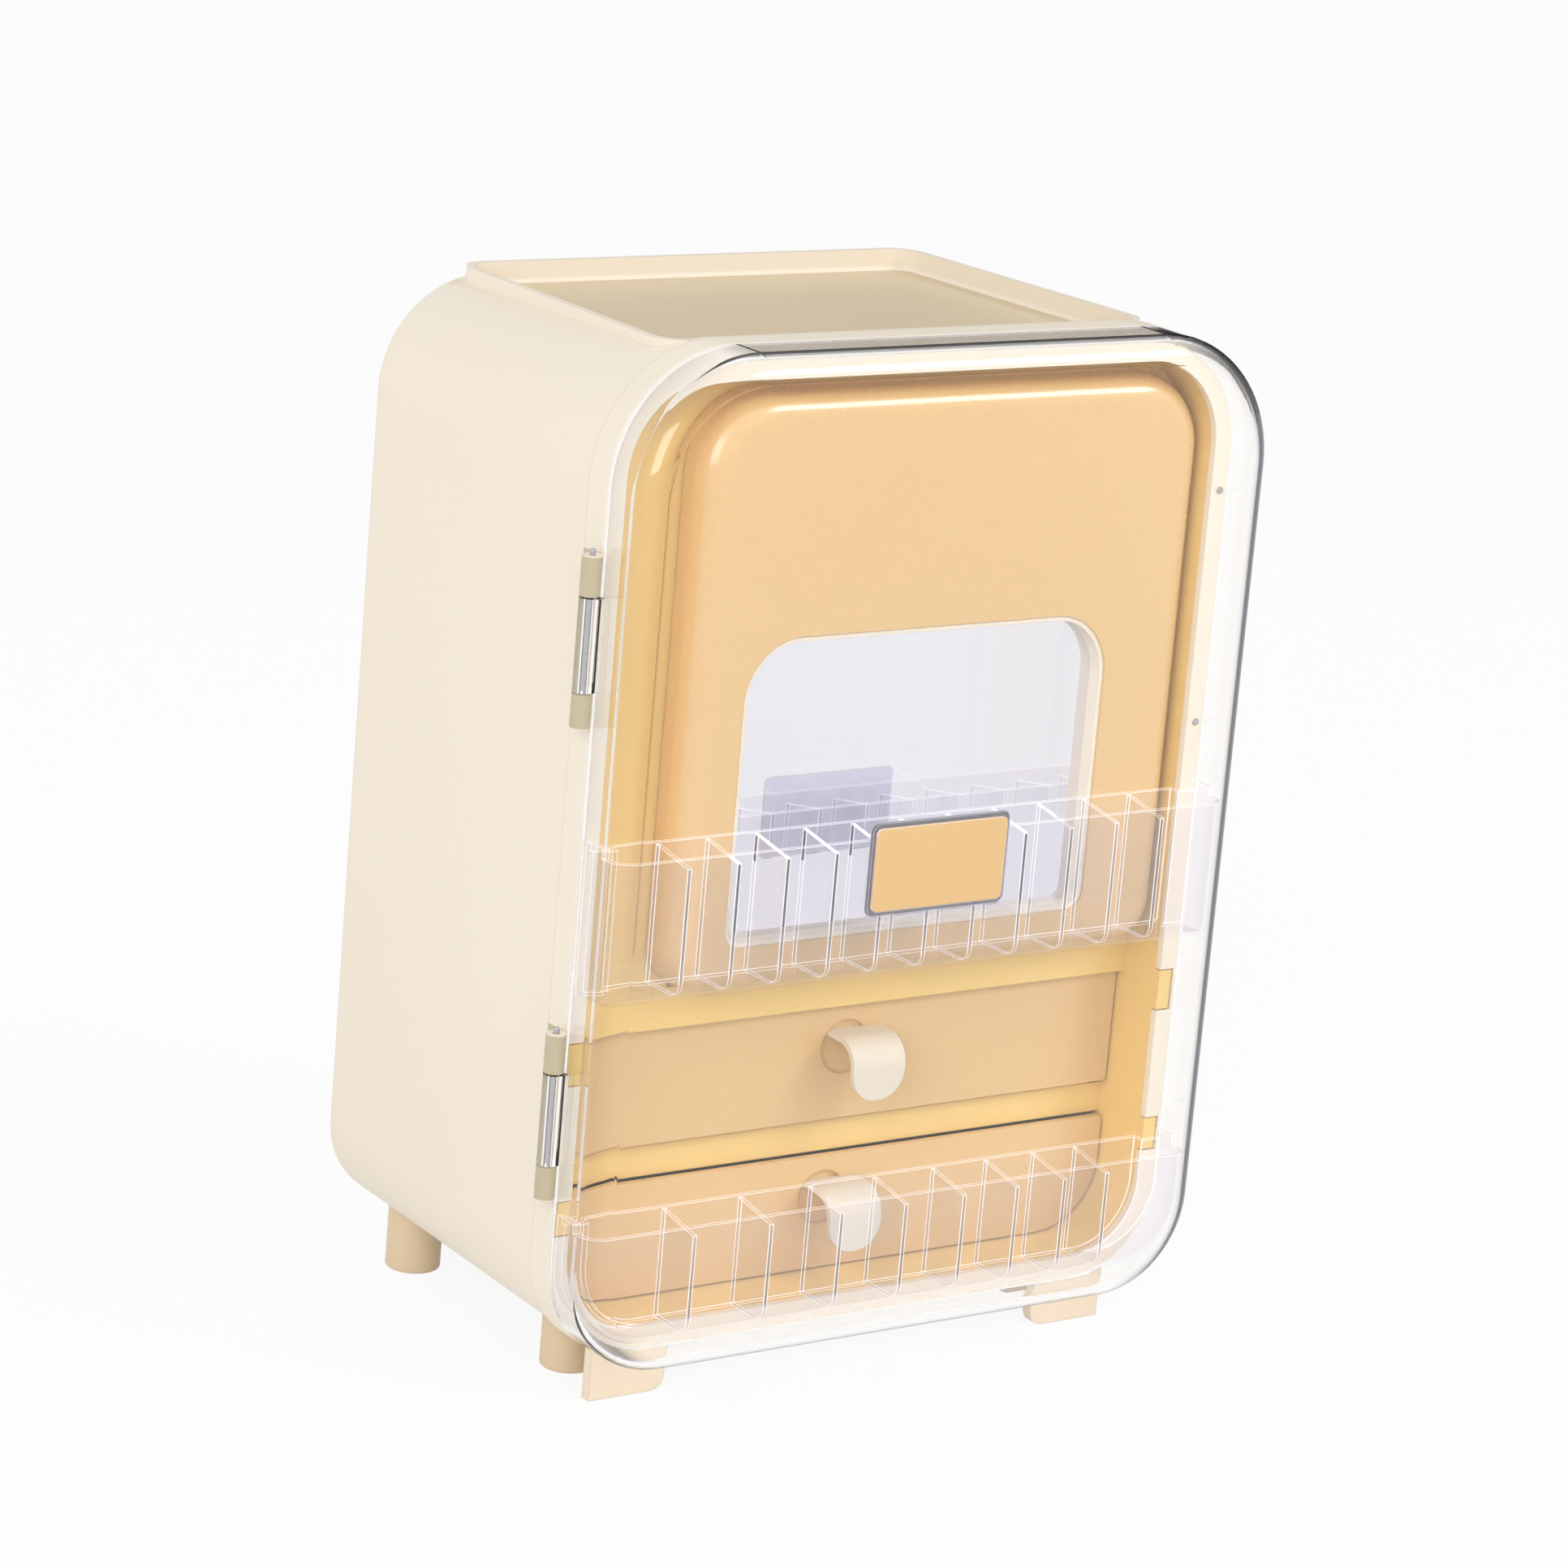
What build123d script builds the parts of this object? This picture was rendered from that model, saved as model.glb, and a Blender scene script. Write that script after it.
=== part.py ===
from build123d import *
import os
from math import radians, sqrt, tan

os.makedirs("parts", exist_ok=True)

# Cosmetic organizer box, in millimetres. X runs to the right, Y to the back, Z up.
# Pieces are drawn with x = 0 in the middle of the case, y = 0 where the door meets
# the case and z = 0 on the case's underside, and are shifted once when written.

# Case
CASE_WIDTH = 236.0
CASE_HEIGHT = 317.0
CASE_DEPTH = 146.0
TOP_RADIUS = 42.0
BOTTOM_RADIUS = 33.0
SHELL_WALL = 2.6
DRAFT = 1.94
REAR_RADIUS = 6.0

# Feet
FOOT_HEIGHT = 14.0
FOOT_RADIUS = 9.0
FOOT_IN = 30.0
FOOT_FRONT_Y = 30.0
FOOT_BEHIND = 21.0
FRONT_FOOT_IN = 19.0
FRONT_FOOT_WIDE = 27.5
FRONT_FOOT_Y = 0.6
FRONT_FOOT_THICK = 4.0
FRONT_FOOT_R = 5.0

# Front frame
FRAME_DEPTH = 10.0
FRAME_PROUD = 1.0
FRAME_WALL = 3.4
RIM_SIDE = 8.0
RIM_TOP = 11.5
RIM_BOTTOM = 9.0
RIM_THICK = 2.5
RIM_TOP_RADIUS = 28.0
SLEEVE_WALL = 1.2
SLEEVE_REACH = 6.0
LUG_BANDS = ((42.0, 53.5), (90.0, 104.0))
LUG_REACH = 5.5
LUG_CLEARANCE = 0.4
CATCH_IN = 4.4
CATCH_R = 1.1
CATCH_PROUD = 0.4
CATCH_DOWN = (130.0, 54.0)

# Top tray
TRAY_SHOULDER = 26.0
TRAY_FRONT = 14.0
TRAY_BEHIND = 5.0
TRAY_UNDER_TOP = 1.6
TRAY_DEEP = 7.0
TRAY_WALL = 2.4
TRAY_FLOOR = 1.8
TRAY_RADIUS = 10.0

# Hinges
AXIS_OUT = 3.6
AXIS_Y = -0.3
KNUCKLE_R = 3.2
PIN_R = 1.0
PIN_RUN = 0.05
PIN_TIP = 2.0
KNUCKLE_GAP = 0.5
KNUCKLE_LOW = 11.1
KNUCKLE_DOOR = 29.1
KNUCKLE_HIGH = 12.5
UPPER_HINGE_DOWN = 114.0
LOWER_HINGE_Z = 55.5
WEB_THICK = 2.5

# Door
DOOR_GAP = 0.6
DOOR_DEPTH = 21.0
DOOR_WALL = 2.2
DOOR_EDGE = 8.5

# Clear trays on the door
DOOR_TRAY_GAP = 0.3
DOOR_TRAY_BACK = 2.5
DOOR_TRAY_STEP_Y = -1.5
DOOR_TRAY_RIM_GAP = 1.5
DOOR_TRAY_WALL = 1.6
UPPER_TRAY_Z = (119.4, 165.0)
LOWER_TRAY_Z = (9.8, 47.0)
END_RISE = 3.0
DIVIDER_THICK = 1.4
DIVIDER_SINK = 0.5
UPPER_DIVIDERS = 11
UPPER_END_SLOT = 18.5
LOWER_DIVIDERS = 8
LOWER_FIRST_SLOT = 31.5
LOWER_LAST_SLOT = 25.9
LOWER_PITCH_STEP = 1.9

# Name plate
PLATE_WIDE = 53.0
PLATE_Z = (141.0, 171.0)
PLATE_BORDER = 1.8
PLATE_PROUD = 1.6
PLATE_SUNK = 0.2

# Amber inside
LINER_WALL = 1.6
LINER_BEHIND = 10.0
VALLEY_Y = 18.0
VALLEY_THICK = 2.0
VALLEY_ROUND = 6.0
VALLEY_WIDE = 30.0
BIN_SHELF_Z = 112.0
DRAWER_SHELF_Z = 58.5
SHELF_THICK = 2.4
BAND_BOTTOM = 98.5
BAND_THICK = 2.0
RUN_CLEARANCE = 0.5
RAIL_X = 58.0
RAIL_WIDE = 6.0

# Tall bin and its convex front, which leaves a finger gap on the hinge side only
PANEL_SIDE_GAP = 1.0
PANEL_OVER_SHELF = 1.0
PANEL_UNDER_RIM = 5.5
PANEL_Y = 4.0
PANEL_WALL = 2.5
PANEL_TOP_R = 25.0
PANEL_BOTTOM_R = 14.0
PANEL_EDGE = 8.0
MIRROR_WIDE = 138.0
MIRROR_HIGH = 97.5
MIRROR_MARGIN = 19.5
MIRROR_UP = 14.0
MIRROR_R = 20.0
MIRROR_LOW_R = 6.0
MIRROR_SINK = 5.5
MIRROR_THICK = 1.5
FIELD_WALL = 2.0
LIP_WALL = 1.6
LIP_SUNK = 0.6
TUB_IN = 10.5
TUB_DOWN = 50.0
TUB_WALL = 2.0
TUB_R = 8.0
TUB_FRAME_GAP = 1.5

# Drawers
DRAWER_FRONT_Y = 20.5
DRAWER_FRONT_THICK = 2.4
DRAWER_SIDE_GAP = 1.4
DRAWER_BOX_GAP = 1.5
DRAWER_BEHIND = 18.0
DRAWER_WALL = 1.8
UPPER_FRONT_Z = (60.2, 98.0)
LOWER_FRONT_Z = (10.2, 48.0)
BOX_UNDER_TOP = 6.0
LOWER_BOX_R = 20.0
PULL_HALF = 10.0
PULL_THICK = 1.8
PULL_REACH = 15.5
PULL_DROP = 19.5
PULL_UNDER_TOP = 8.0
DISH_R = 9.0
DISH_DEEP = 1.2
DISH_X = -3.0
UPPER_PULL_X = 4.0
LOWER_PULL_X = 0.0

# Derived sizes
HALF = CASE_WIDTH / 2
SLOPE = tan(radians(DRAFT))
AXIS_X = -HALF - AXIS_OUT
RIM_HALF = HALF - RIM_SIDE
RIM_TOP_Z = CASE_HEIGHT - RIM_TOP
RIM_BOTTOM_RADIUS = BOTTOM_RADIUS - RIM_SIDE
LINER_REAR = CASE_DEPTH - LINER_BEHIND
TRAY_HALF = HALF - TRAY_SHOULDER
TRAY_REAR = CASE_DEPTH - TRAY_BEHIND
TRAY_RIM_Z = CASE_HEIGHT - TRAY_UNDER_TOP
TRAY_FLOOR_Z = TRAY_RIM_Z - TRAY_DEEP
TRAY_UNDER_Z = TRAY_FLOOR_Z - TRAY_FLOOR
DOOR_INSIDE_Y = -DOOR_DEPTH + DOOR_WALL
DOOR_TRAY_FRONT = DOOR_INSIDE_Y + DOOR_TRAY_GAP
DOOR_TRAY_WIDE = HALF - DOOR_WALL - DOOR_TRAY_GAP
DOOR_TRAY_HALF = RIM_HALF - DOOR_TRAY_RIM_GAP
DOOR_TRAY_EDGE = DOOR_EDGE - DOOR_WALL - DOOR_TRAY_GAP
DRAWER_REAR = CASE_DEPTH - DRAWER_BEHIND
DRAWER_FRONT_HALF = RIM_HALF - DRAWER_SIDE_GAP
DRAWER_BOX_HALF = RIM_HALF - SLOPE * (DRAWER_REAR - RIM_THICK) - DRAWER_BOX_GAP
PANEL_LEFT = -RIM_HALF + VALLEY_WIDE
PANEL_RIGHT = RIM_HALF - PANEL_SIDE_GAP
PANEL_X = (PANEL_LEFT + PANEL_RIGHT) / 2
PANEL_HALF = (PANEL_RIGHT - PANEL_LEFT) / 2
PANEL_Z = (BIN_SHELF_Z + PANEL_OVER_SHELF, RIM_TOP_Z - PANEL_UNDER_RIM)
MIRROR_HALF = MIRROR_WIDE / 2
MIRROR_X = PANEL_LEFT + MIRROR_MARGIN + MIRROR_HALF
MIRROR_Z = (PANEL_Z[0] + MIRROR_UP, PANEL_Z[0] + MIRROR_UP + MIRROR_HIGH)
MIRROR_BACK_Y = PANEL_Y + MIRROR_SINK + MIRROR_THICK
TUB_HALF = PANEL_HALF - TUB_IN
TUB_TOP = PANEL_Z[1] - TUB_DOWN
TUB_REAR = DRAWER_REAR
SHIFT = Pos(-(AXIS_X - KNUCKLE_R + HALF) / 2, -(CASE_DEPTH - DOOR_DEPTH - PLATE_PROUD) / 2, FOOT_HEIGHT)


def block(x0, x1, y0, y1, z0, z1):
    """Box between two corners."""
    return Pos((x0 + x1) / 2, (y0 + y1) / 2, (z0 + z1) / 2) * Box(x1 - x0, y1 - y0, z1 - z0)


def outline(half, z0, z1, r_top, r_bottom):
    """Upright rectangle with its own radius at the top and at the bottom corners."""
    face = Pos(0, (z0 + z1) / 2) * Rectangle(2 * half, z1 - z0)
    if r_top > 0:
        face = fillet(face.vertices().group_by(Axis.Y)[-1], r_top)
    if r_bottom > 0:
        face = fillet(face.vertices().group_by(Axis.Y)[0], r_bottom)
    return face


def prism(half, z0, z1, r_top, r_bottom, y0, y1, draft=0.0):
    """Outline extruded from y0 back to y1, narrowing by the draft angle."""
    plane = Plane(origin=(0, y0, 0), x_dir=(-1, 0, 0), z_dir=(0, 1, 0))
    return extrude(plane * outline(half, z0, z1, r_top, r_bottom), y1 - y0, taper=draft)


def case_prism(inset, y0, y1, draft=0.0):
    """The case's own outline, drawn in by an inset on every side."""
    return prism(HALF - inset, inset, CASE_HEIGHT - inset, TOP_RADIUS - inset,
                 BOTTOM_RADIUS - inset, y0, y1, draft)


def rod(x, y, z0, z1, radius):
    """Upright round bar."""
    return Pos(x, y, (z0 + z1) / 2) * Cylinder(radius, z1 - z0)


def cross_rod(x, z, y0, y1, radius):
    """Round bar that runs front to back."""
    return Pos(x, (y0 + y1) / 2, z) * Rot(90, 0, 0) * Cylinder(radius, y1 - y0)


def mirrored(shape):
    """The shape and its twin on the other side of the middle plane."""
    return [shape, shape.mirror(Plane.YZ)]


def save(name, shape):
    """Write one piece, or a group of like pieces, in the part's own frame."""
    group = Compound(shape) if isinstance(shape, list) else shape
    export_step(SHIFT * group, os.path.join("parts", name + ".step"))


def liner_half(y):
    """Half the clear width inside the amber liner at a depth y."""
    return RIM_HALF - SLOPE * (y - RIM_THICK)


def hinge_levels(z0):
    """Heights where the knuckles of a hinge start and end, from its foot upwards."""
    z1 = z0 + KNUCKLE_LOW
    z2 = z1 + KNUCKLE_DOOR
    return (z0, z1, z2, z2 + KNUCKLE_HIGH)


def shelf_plate(y0, y1, z0, z1):
    """Shelf that follows the narrowing side walls of the liner."""
    a = liner_half(y0)
    b = liner_half(y1)
    corners = [(-a, y0), (a, y0), (b, y1), (-b, y1)]
    return Pos(0, 0, z0) * extrude(make_face(Polyline(*corners, close=True)), z1 - z0)


def case_body():
    """Outside of the case behind the front frame."""
    body = case_prism(FRAME_PROUD, FRAME_DEPTH, CASE_DEPTH, DRAFT)
    rear = body.faces().sort_by(Axis.Y)[-1]
    return fillet(rear.edges(), REAR_RADIUS)


def tray_plan(inset, z0, z1):
    """Plan of the top tray drawn in by an inset: it narrows to the back as the case does."""
    front = TRAY_FRONT + inset
    rear = TRAY_REAR - inset
    a = TRAY_HALF - inset
    b = a - SLOPE * (rear - front)
    face = make_face(Polyline((-a, front), (a, front), (b, rear), (-b, rear), close=True))
    return Pos(0, 0, z0) * extrude(fillet(face.vertices(), TRAY_RADIUS - inset), z1 - z0)


def case_shell():
    """One-piece shell with the level tray moulded into its sloping top."""
    hollow = case_prism(FRAME_PROUD + SHELL_WALL, FRAME_DEPTH, CASE_DEPTH - SHELL_WALL, DRAFT)
    shell = case_body() - hollow
    pocket = tray_plan(TRAY_WALL, TRAY_FLOOR_Z, CASE_HEIGHT + 1)
    pocket = fillet(pocket.faces().sort_by(Axis.Z)[0].edges(), 1.5)
    return shell + tray_plan(0, TRAY_UNDER_Z, TRAY_RIM_Z) - pocket


def case_knuckles(levels):
    """Two cream knuckles of one hinge with the webs that carry them."""
    low0, low1, high0, high1 = levels
    half_gap = KNUCKLE_GAP / 2
    parts = []
    for z0, z1 in ((low0, low1 - half_gap), (high0 + half_gap, high1)):
        knuckle = rod(AXIS_X, AXIS_Y, z0, z1, KNUCKLE_R)
        web_y = AXIS_Y + KNUCKLE_R - WEB_THICK
        web = block(AXIS_X, -HALF + 1.0, web_y, AXIS_Y + KNUCKLE_R, z0, z1)
        parts.append(knuckle + web - rod(AXIS_X, AXIS_Y, z0 - 1, z1 + 1, PIN_R))
    return parts


def front_frame():
    """Cream frame: outer band, face rim, locating sleeve, notches and case knuckles."""
    band = case_prism(0, 0, FRAME_DEPTH) - case_prism(FRAME_WALL, -1, FRAME_DEPTH + 1)
    opening = prism(RIM_HALF, RIM_BOTTOM, RIM_TOP_Z, RIM_TOP_RADIUS, RIM_BOTTOM_RADIUS,
                    -1, RIM_THICK + 1)
    rim = case_prism(FRAME_WALL - 0.5, 0, RIM_THICK) - opening
    sleeve_out = FRAME_PROUD + SHELL_WALL + 0.25
    sleeve_end = FRAME_DEPTH + SLEEVE_REACH
    sleeve = case_prism(FRAME_WALL - 0.5, RIM_THICK - 0.5, FRAME_DEPTH)
    sleeve += case_prism(sleeve_out, FRAME_DEPTH - 0.5, sleeve_end)
    sleeve -= case_prism(sleeve_out + SLEEVE_WALL, 0, sleeve_end + 1)
    frame = band + rim + sleeve
    frame -= block(-TRAY_HALF - 1, TRAY_HALF + 1, TRAY_FRONT - 0.2, sleeve_end + 1,
                   TRAY_UNDER_Z - 1, CASE_HEIGHT + 1)
    for z0, z1 in LUG_BANDS:
        notch = block(RIM_HALF - 1, RIM_HALF + LUG_REACH, -1, sleeve_end + 1, z0, z1)
        for cut in mirrored(notch):
            frame -= cut
    for x, z in catch_places():
        frame -= cross_rod(x, z, -1, RIM_THICK - 0.8, CATCH_R)
    front_edge = frame.faces().filter_by(Plane.XZ).sort_by(Axis.Y)[0].outer_wire().edges()
    frame = fillet(front_edge, 0.8)
    for levels in (UPPER_HINGE, LOWER_HINGE):
        for knuckle in case_knuckles(levels):
            frame += knuckle
    return frame


def catch_places():
    """Centres of the two catch pins on the free side of the frame."""
    return [(HALF - CATCH_IN, CASE_HEIGHT - down) for down in CATCH_DOWN]


def hinge_pin(levels):
    """Steel pin of one hinge with its domed tip above the top knuckle."""
    pin = rod(AXIS_X, AXIS_Y, levels[0] + 0.5, levels[3] + PIN_TIP, PIN_R)
    return fillet(pin.edges().sort_by(Axis.Z)[-1], 0.6)


def door_panel():
    """Clear pan of the door with the two clear knuckles and the tray ledges."""
    outer = case_prism(0, -DOOR_DEPTH, -DOOR_GAP)
    outer = fillet(outer.faces().sort_by(Axis.Y)[0].edges(), DOOR_EDGE)
    inner = case_prism(DOOR_WALL, DOOR_INSIDE_Y, 0)
    inner = fillet(inner.faces().sort_by(Axis.Y)[0].edges(), DOOR_EDGE - DOOR_WALL)
    door = outer - inner
    for levels in (UPPER_HINGE, LOWER_HINGE):
        z0 = levels[1] + KNUCKLE_GAP / 2
        z1 = levels[2] - KNUCKLE_GAP / 2
        web = block(AXIS_X, -HALF + DOOR_WALL - 0.4, AXIS_Y - KNUCKLE_R,
                    AXIS_Y - KNUCKLE_R + WEB_THICK, z0, z1)
        door += rod(AXIS_X, AXIS_Y, z0, z1, KNUCKLE_R) + web
        door -= rod(AXIS_X, AXIS_Y, z0 - 1, z1 + 1, PIN_R + PIN_RUN)
    return door


def tray_solid(inset, z0, z1, r_bottom):
    """Full form of a door tray drawn in by an inset: wide in the door, narrow in the rim."""
    front = DOOR_TRAY_FRONT + inset
    wide = prism(DOOR_TRAY_WIDE - inset, z0, z1, 0, r_bottom, front, DOOR_TRAY_STEP_Y - inset)
    upright = wide.faces().sort_by(Axis.Y)[0].edges().sort_by(Axis.Z)[:-1]
    wide = fillet(upright, DOOR_TRAY_EDGE - inset)
    narrow = prism(DOOR_TRAY_HALF - inset, z0, z1, 0, r_bottom, DOOR_TRAY_STEP_Y - inset - 1,
                   DOOR_TRAY_BACK - inset)
    return wide + narrow


def door_tray(z0, z1, r_bottom):
    """Clear tray open at the top, with round front corners and raised end tabs."""
    wall = DOOR_TRAY_WALL
    tray = tray_solid(0, z0, z1, r_bottom)
    tray -= tray_solid(wall, z0 + wall, z1 + 20, max(r_bottom - wall, 1.0))
    tab = block(DOOR_TRAY_WIDE - wall, DOOR_TRAY_WIDE, DOOR_TRAY_FRONT + DOOR_EDGE, DOOR_TRAY_STEP_Y,
                z1 - 1, z1 + END_RISE)
    for piece in mirrored(tab):
        tray += piece
    return tray


def divider(x, z_floor, z_top):
    """One clear plate between the tray's front and back walls, lower in front."""
    y0 = DOOR_TRAY_FRONT + DOOR_TRAY_WALL
    y1 = DOOR_TRAY_BACK - DOOR_TRAY_WALL
    top = z_top - DIVIDER_SINK
    side = make_face(Polyline((y0, z_floor), (y1, z_floor), (y1, top), (y0, top - 3.0), close=True))
    low_front = side.vertices().sort_by(lambda v: v.X + v.Y)[0]
    side = fillet(low_front, DOOR_TRAY_EDGE - DOOR_TRAY_WALL)
    plate = extrude(Plane.YZ * side, DIVIDER_THICK / 2, both=True)
    return Pos(x, 0, 0) * plate


def upper_divider_places():
    """Even pitch between two end slots."""
    first = -DOOR_TRAY_HALF + UPPER_END_SLOT
    pitch = -2 * first / (UPPER_DIVIDERS - 1)
    return [first + pitch * i for i in range(UPPER_DIVIDERS)]


def lower_divider_places():
    """Pitch that shrinks by an even step towards the free side of the door."""
    x = -DOOR_TRAY_HALF + LOWER_FIRST_SLOT
    span = DOOR_TRAY_HALF - LOWER_LAST_SLOT - x
    gaps = LOWER_DIVIDERS - 1
    pitch = span / gaps + LOWER_PITCH_STEP * (gaps - 1) / 2
    places = [x]
    for i in range(gaps):
        x += pitch - LOWER_PITCH_STEP * i
        places.append(x)
    return places


def name_plate_solid(grow, y0, y1):
    """Rounded plate in front of the door's face."""
    z0, z1 = PLATE_Z
    return prism(PLATE_WIDE / 2 - grow, z0 + grow, z1 - grow, 3.0 - grow / 2, 3.0 - grow / 2, y0, y1)


def name_plate_frame():
    """Clear tray of the name plate, flat on the door's face."""
    front = -DOOR_DEPTH - PLATE_PROUD
    base = -DOOR_DEPTH - 0.5
    return name_plate_solid(0, front, -DOOR_DEPTH) - name_plate_solid(PLATE_BORDER, front - 1, base)


def name_plate():
    """Bare plate a little below the edge of its clear frame."""
    front = -DOOR_DEPTH - PLATE_PROUD + PLATE_SUNK
    return name_plate_solid(PLATE_BORDER, front, -DOOR_DEPTH - 0.5)


def inner_cabinet():
    """Amber liner: walls that narrow to the back, lugs in the notches, level drawer rails."""
    top = TRAY_UNDER_Z - 0.2
    outer = prism(RIM_HALF + LINER_WALL, RIM_BOTTOM - LINER_WALL, top, RIM_TOP_RADIUS + LINER_WALL,
                  RIM_BOTTOM_RADIUS + LINER_WALL, RIM_THICK, LINER_REAR, DRAFT)
    inner = prism(RIM_HALF, RIM_BOTTOM, top - LINER_WALL, RIM_TOP_RADIUS, RIM_BOTTOM_RADIUS,
                  RIM_THICK, LINER_REAR - LINER_WALL, DRAFT)
    liner = outer - inner
    liner -= block(-HALF, HALF, 0, VALLEY_Y + VALLEY_THICK, BIN_SHELF_Z, CASE_HEIGHT)
    for z0, z1 in LUG_BANDS:
        lug = block(RIM_HALF, RIM_HALF + LUG_REACH - 0.5, LUG_CLEARANCE, RIM_THICK + 4,
                    z0 + LUG_CLEARANCE, z1 - LUG_CLEARANCE)
        for piece in mirrored(lug):
            liner += piece
    rail_top = lower_box_floor() - RUN_CLEARANCE
    rail = block(RAIL_X, RAIL_X + RAIL_WIDE, DRAWER_FRONT_Y + 6, LINER_REAR - LINER_WALL,
                 RIM_BOTTOM - 0.5, rail_top)
    for piece in mirrored(rail):
        liner += piece
    return liner


def lower_box_floor():
    """Underside of the lower drawer's box, clear of the rising floor of the liner."""
    return RIM_BOTTOM + SLOPE * (DRAWER_REAR - RIM_THICK) + 1.1


def face_frame():
    """Amber pan round the bin front, flush with the rim and resting on the bin shelf."""
    rear = VALLEY_Y + VALLEY_THICK
    below = BIN_SHELF_Z - 4
    outer = prism(RIM_HALF + LINER_WALL, below, RIM_TOP_Z + LINER_WALL, RIM_TOP_RADIUS + LINER_WALL, 0,
                  RIM_THICK, rear)
    sharp = prism(RIM_HALF, below - 1, RIM_TOP_Z, RIM_TOP_RADIUS, 0, RIM_THICK, VALLEY_Y)
    inner = fillet(sharp.faces().sort_by(Axis.Y)[-1].edges().sort_by(Axis.Z)[1:], VALLEY_ROUND)
    inner += sharp & block(PANEL_RIGHT - 2 * VALLEY_ROUND, HALF, 0, rear, below, CASE_HEIGHT)
    pan = outer - inner
    pan -= block(PANEL_X - TUB_HALF - TUB_FRAME_GAP, PANEL_X + TUB_HALF + TUB_FRAME_GAP, 0, rear + 1,
                 0, TUB_TOP + TUB_FRAME_GAP)
    pan -= block(-TRAY_HALF - 0.3, TRAY_HALF + 0.3, TRAY_FRONT - 0.1, rear + 1,
                 TRAY_UNDER_Z - 0.2, CASE_HEIGHT)
    pan -= block(-HALF, HALF, 0, rear + 1, 0, BIN_SHELF_Z)
    return pan


def bin_shelf():
    """Amber shelf under the tall bin with its front band."""
    rear = LINER_REAR - LINER_WALL
    plate = shelf_plate(VALLEY_Y, rear, BIN_SHELF_Z - SHELF_THICK, BIN_SHELF_Z)
    return plate + shelf_plate(VALLEY_Y, VALLEY_Y + BAND_THICK, BAND_BOTTOM, BIN_SHELF_Z - 1)


def drawer_shelf():
    """Amber shelf between the drawers with its recessed front band."""
    rear = LINER_REAR - LINER_WALL
    front = DRAWER_FRONT_Y + DRAWER_FRONT_THICK + 1.0
    plate = shelf_plate(front, rear, DRAWER_SHELF_Z - SHELF_THICK, DRAWER_SHELF_Z)
    band_low = LOWER_FRONT_Z[1] + RUN_CLEARANCE
    return plate + shelf_plate(front, front + BAND_THICK, band_low, DRAWER_SHELF_Z - 1)


def bin_front():
    """Convex amber front of the bin with a sunk field for the mirror."""
    z0, z1 = PANEL_Z
    back = VALLEY_Y - 0.3
    body = prism(PANEL_HALF, z0, z1, PANEL_TOP_R, PANEL_BOTTOM_R, PANEL_Y, back)
    body = fillet(body.faces().sort_by(Axis.Y)[0].edges(), PANEL_EDGE)
    w = PANEL_WALL
    hollow = prism(PANEL_HALF - w, z0 + w, z1 - w, PANEL_TOP_R - w, PANEL_BOTTOM_R - w,
                   PANEL_Y + w, back + 1)
    hollow = fillet(hollow.faces().sort_by(Axis.Y)[0].edges(), PANEL_EDGE - w)
    field = mirror_outline(-w, PANEL_Y + 1, MIRROR_BACK_Y + FIELD_WALL)
    sink = mirror_outline(0, PANEL_Y - 1, MIRROR_BACK_Y)
    return Pos(PANEL_X, 0, 0) * (body - hollow) + field - sink


def mirror_outline(inset, y0, y1):
    """The mirror's own outline, large corners above and small ones below."""
    z0, z1 = MIRROR_Z
    solid = prism(MIRROR_HALF - inset, z0 + inset, z1 - inset, MIRROR_R - inset,
                  MIRROR_LOW_R - inset, y0, y1)
    return Pos(MIRROR_X, 0, 0) * solid


def mirror_bezel():
    """Cream lip that runs round the mirror inside its sunk field."""
    ring = mirror_outline(0, PANEL_Y + LIP_SUNK, MIRROR_BACK_Y)
    return ring - mirror_outline(LIP_WALL, PANEL_Y - 1, MIRROR_BACK_Y + 1)


def mirror_glass():
    """Mirror plate inside the lip."""
    return mirror_outline(LIP_WALL, PANEL_Y + MIRROR_SINK, MIRROR_BACK_Y)


def mirror_bin():
    """Tall tub behind the convex front, open at the top and stepped over the front's lower lip."""
    front = MIRROR_BACK_Y + FIELD_WALL
    z0 = BIN_SHELF_Z + RUN_CLEARANCE
    step_z = PANEL_Z[0] + PANEL_BOTTOM_R
    w = TUB_WALL
    body = block(-TUB_HALF, TUB_HALF, front, TUB_REAR, z0, TUB_TOP)
    body -= block(-TUB_HALF - 1, TUB_HALF + 1, front - 1, VALLEY_Y, z0 - 1, step_z)
    body = fillet(body.edges().filter_by(Axis.Z).sort_by(Axis.Y)[-2:], TUB_R)
    hollow = block(-TUB_HALF + w, TUB_HALF - w, VALLEY_Y + w, TUB_REAR - w, z0 + w, TUB_TOP + 1)
    hollow = fillet(hollow.edges().filter_by(Axis.Z).sort_by(Axis.Y)[-2:], TUB_R - w)
    hollow += block(-TUB_HALF + w, TUB_HALF - w, front + w, VALLEY_Y + w, step_z + w, TUB_TOP + 1)
    return Pos(PANEL_X, 0, 0) * (body - hollow)


def drawer_front(z0, z1, r_bottom, pull_x):
    """Front plate with a shallow round dish and the slot for the pull."""
    y0 = DRAWER_FRONT_Y
    plate = prism(DRAWER_FRONT_HALF, z0, z1, 1.5, r_bottom, y0, y0 + DRAWER_FRONT_THICK)
    root = z1 - PULL_UNDER_TOP
    return plate - cross_rod(pull_x + DISH_X, root - 6, y0 - 1, y0 + DISH_DEEP, DISH_R)


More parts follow.
